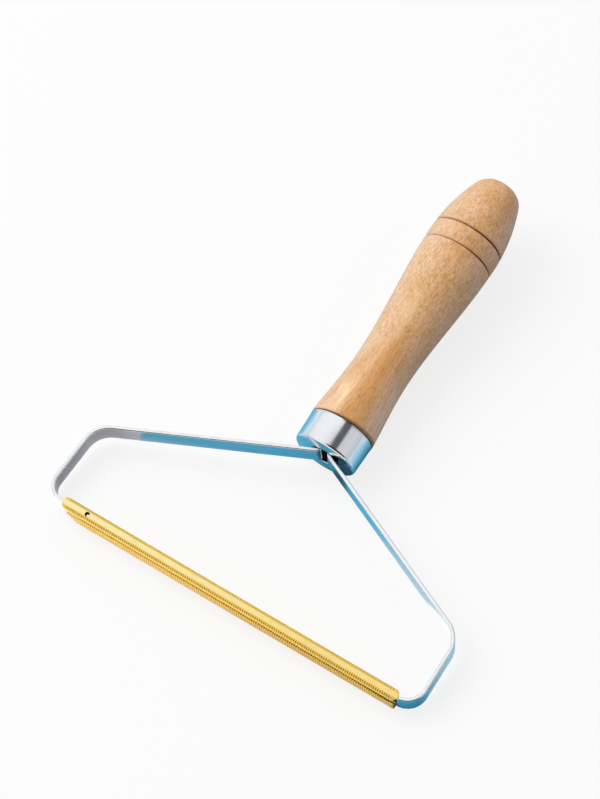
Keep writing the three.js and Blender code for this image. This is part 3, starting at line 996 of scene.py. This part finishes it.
# %% Resin finish
resin, paint, surface, place = new_finish("epoxy_painted_dark")
cloud = place.noise(0.4, 0.4, 0.4, 3)
# painted shade: the glue is painted dark brown so that the hole reads dark
colour = cloud.fade(0.35, 0.7).blend(linear(44, 34, 26), linear(66, 52, 40))
set_surface(paint, surface, Base_Color=colour, Roughness=0.3 + cloud * 0.2)
plug = frame["nodes"]["tang_resin_plug"]
plug.data.materials.clear()
plug.data.materials.append(resin)
print("resin finish has", len(resin.node_tree.nodes), "nodes")

# %% [markdown]
# The tool lies on a plain white floor. The floor is a matt surface that shows the soft shadow, lifted
# towards white for what the camera, mirrors and glass see of it, so that the background comes out white
# without more light on the tool. For light that bounces back up it is darker and cool, which keeps the
# underside of the handle in shade.

# %% Floor
floor_gap = 0.05 * mm
bpy.ops.object.select_all(action="DESELECT")
bpy.ops.mesh.primitive_plane_add(size=12, location=(0, 0, -floor_gap))
floor = bpy.context.object
floor.name = "floor"
floor_white, paint = blank_material("floor_white")
plain_white, cool_shade = (0.86, 0.86, 0.86), (0.56, 0.6, 0.66)
bounced = paint.node("ShaderNodeLightPath", {}, {}, "Is Diffuse Ray")
matt = paint.node("ShaderNodeBsdfDiffuse", {}, {"Color": bounced.blend(plain_white, cool_shade)})
glow = paint.node("ShaderNodeEmission", {}, {"Color": (1, 1, 1), "Strength": 1.0})
seen = paint.node("ShaderNodeLightPath", {}, {}, "Is Camera Ray")
mirrored = paint.node("ShaderNodeLightPath", {}, {}, "Is Glossy Ray")
through = paint.node("ShaderNodeLightPath", {}, {}, "Is Transmission Ray")
lift = paint.math("MINIMUM", seen + mirrored + through, 1.0) * 0.8
lifted = paint.node("ShaderNodeMixShader", {}, {0: lift, 1: matt, 2: glow})
paint.node("ShaderNodeOutputMaterial", {}, {"Surface": lifted})
floor.data.materials.append(floor_white)
print("floor lies", round(-floor.location.z / mm, 3), "mm under the tool")

# %% [markdown]
# Polished steel shows what lies beside it. A plain white floor makes its upright faces vanish, so a blue
# reflector card lies under the tool, as photographers use one. Only mirror rays see it: the camera still
# sees the white floor and its shadow. The card lies a hair above the floor and reaches further to the
# right.

# %% Reflector card
card_gap = 0.03 * mm
bpy.ops.object.select_all(action="DESELECT")
bpy.ops.mesh.primitive_plane_add(size=1.4, location=(0.2, 0, -card_gap))
card = bpy.context.object
card.name = "reflector_card"
bpy.ops.object.transform_apply(location=True, rotation=True, scale=True)
for ray in ("camera", "diffuse", "transmission", "volume_scatter", "shadow"):
    setattr(card, "visible_" + ray, False)
print("card of", [round(size, 2) for size in card.dimensions[:2]], "m")

# %% [markdown]
# Each upright face mirrors the card just beside it, so the card is painted like a map, in metres from the
# tool's middle. It is blue, paler on the right and deeper at the right lower bend. It is grey at its left
# end, where the frame's corner stays neutral, and dark under the neck.

# %% Blue and grey of the card
card_blue, paint = blank_material("card_blue")
spot = paint.node("ShaderNodeTexCoord", {}, {}, "Object")
across, along = spot.split()[:2]
before_arms = along + abs(across) * 0.5
left_end = (across + before_arms.fade(-0.0313, -0.0253) * 0.004).fade(-0.049, -0.05)
right_side = across.fade(0.05, 0.07) * along.fade(-0.085, -0.06)
right_bend = across.fade(0.056, 0.06) * along.fade(-0.072, -0.08)
neck_shade = abs(across - 0.006).fade(0.007, 0.003) * abs(along + 0.0275).fade(0.0036, 0.0016)
tint = across.fade(0.015, 0.055).blend((0.12, 0.5, 0.74), (0.28, 0.66, 0.86))
for mask, patch_colour in (
    (right_side, (0.5, 0.8, 0.95)),
    (right_bend * 0.85, (0.05, 0.48, 0.78)),
    (left_end, (0.62, 0.62, 0.66)),
    (neck_shade * 0.85, (0.02, 0.06, 0.08)),
):
    tint = mask.blend(tint, patch_colour)
print("blue card of", len(card_blue.node_tree.nodes), "nodes")

# %% [markdown]
# Behind the arms the card is a pale grey, so that the steel looks silvery from behind. Only a wedge on
# both sides of the ferrule is light blue, for the blue edges of the ferrule. Far out the card pales, which
# softens the horizon in the steel.

# %% Pale parts behind the arms
past_ferrule = along - abs(across) * 0.3
wedge = past_ferrule.fade(-0.036, -0.032) * past_ferrule.fade(-0.004, -0.01)
behind_arms = before_arms.fade(-0.027, -0.022) * before_arms.fade(0.03, 0.02) * (1 - wedge)
behind_arms = behind_arms * abs(across).fade(0.02, 0.03) * abs(across).fade(0.066, 0.062)
beside_ferrule = along.fade(-0.036, -0.026) * abs(across).fade(0.012, 0.09)
from_middle = paint.node("ShaderNodeVectorMath", {"operation": "LENGTH"}, {0: spot}, "Value")
for mask, patch_colour in (
    (behind_arms, (0.72, 0.75, 0.79)),
    (beside_ferrule, wedge.blend((0.8, 0.86, 0.92), (0.45, 0.74, 0.92))),
    (from_middle.fade(0.1, 0.3), (0.82, 0.87, 0.92)),
):
    tint = mask.blend(tint, patch_colour)
print("card with its pale parts has", len(card_blue.node_tree.nodes), "nodes")

# %% [markdown]
# Beside the head the card is a warm white, so the brass stays golden, and before the right upper corner it
# is a plain white, so that the blue on the arm tapers off there. Both glow a little, to make up for the
# tool's own shade on them.

# %% White parts of the card
before_head = along.fade(-0.076, -0.082) * across.fade(-0.08, -0.074) * across.fade(0.0617, 0.0603)
before_head = before_head * (0.82 + across.fade(0.05, -0.02) * 0.18)
behind_head = before_arms.fade(-0.041, -0.046) * along.fade(-0.082, -0.079)
behind_head = behind_head * across.fade(-0.054, -0.044) * across.fade(0.064, 0.06)
gilded = paint.math("MAXIMUM", before_head, behind_head)
at_corner = (across + before_arms * 4.3).fade(-0.0525, -0.0493) * before_arms.fade(-0.0215, -0.0225)
at_corner = at_corner * across.fade(0.066, 0.064)
tint = gilded.blend(tint, (0.95, 0.93, 0.88))
tint = at_corner.blend(tint, (0.95, 0.95, 0.95))
matt = paint.node("ShaderNodeBsdfDiffuse", {}, {"Color": tint})
shine = paint.math("MAXIMUM", gilded, at_corner * 0.7).blend((0, 0, 0), (0.3, 0.291, 0.27))
glow = paint.node("ShaderNodeEmission", {}, {"Color": shine, "Strength": 1.0})
lit = paint.node("ShaderNodeAddShader", {}, {0: matt, 1: glow})
paint.node("ShaderNodeOutputMaterial", {}, {"Surface": lit})
card.data.materials.append(card_blue)
print("card finish has", len(card_blue.node_tree.nodes), "nodes")

# %% [markdown]
# Polished steel is mostly a picture of the room. The room is therefore part of the finish: a broad white
# softbox from the left horizon to overhead, a dark gap beside it, a grey wall on the right, and a soft
# blue low on both sides. The angle round the handle's axis picks the tone, so the ferrule shows them as
# bands along its length. A dark doorway in front draws the black line along the edges that face it.

# %% Studio room
world = bpy.data.worlds.new("studio")
bpy.context.scene.world = world
world.use_nodes = True
world.node_tree.nodes.clear()
room = Shade(world.node_tree)
toward_x, toward_y, toward_z = room.node("ShaderNodeTexCoord", {}, {}, "Generated").split()
angle = room.math("ARCTAN2", toward_x, toward_z) / (2 * math.pi) + 0.5


def wall(degrees, tone, blue=0):
    """A ramp stop at an angle from overhead, negative to the left: a grey, turned towards blue."""
    colour = (tone * (1 - blue * 0.7), tone * (1 - blue * 0.3), tone * (1 - blue * 0.1))
    return degrees / 360 + 0.5, colour


left_walls = [wall(-180, 0.6), wall(-100, 0.92, 0.45), wall(-86, 0.97, 0.45)]
softbox = [wall(-66, 1.0), wall(-30, 1.03), wall(-8, 1.0), wall(6, 0.85)]
dark_gap = [wall(10, 0.12), wall(31, 0.11)]
right_walls = [wall(37, 0.68), wall(66, 0.72), wall(86, 0.74, 0.45), wall(95, 0.7, 0.45), wall(180, 0.5)]
stops = left_walls + softbox + dark_gap + right_walls
tone = room.node("ShaderNodeValToRGB", {"stops": stops}, {"Fac": angle})
in_front = toward_y.fade(-0.15, -0.4) * toward_x.fade(-0.15, 0.0)
doorway = in_front * toward_z.fade(-0.02, 0.05) * toward_z.fade(0.94, 0.86)
tone = doorway.blend(tone, (0.03, 0.03, 0.035))
seen = room.node("ShaderNodeLightPath", {}, {}, "Is Camera Ray")
backdrop = room.node("ShaderNodeBackground", {}, {"Color": seen.blend(tone, (1, 1, 1))})
room.node("ShaderNodeOutputWorld", {}, {"Surface": backdrop})
print("room of", len(stops), "tones")

# %% [markdown]
# One large soft lamp from the upper left adds the shadow. Mirror rays don't see it, because the room
# already holds the softbox that the steel shows. The Standard view keeps colours as they were written.

# %% Soft lamp
bpy.ops.object.light_add(type="AREA", location=(-0.78, -0.12, 1.0))
lamp = bpy.context.object
lamp.name = "left_softbox"
lamp.data.energy = 8.0
lamp.data.size = 0.8
lamp.rotation_euler = (-lamp.location).to_track_quat("-Z", "Y").to_euler()
lamp.visible_glossy = False
bpy.context.scene.view_settings.view_transform = "Standard"
print("lamp of", lamp.data.energy, "W at", [round(part, 2) for part in lamp.location])
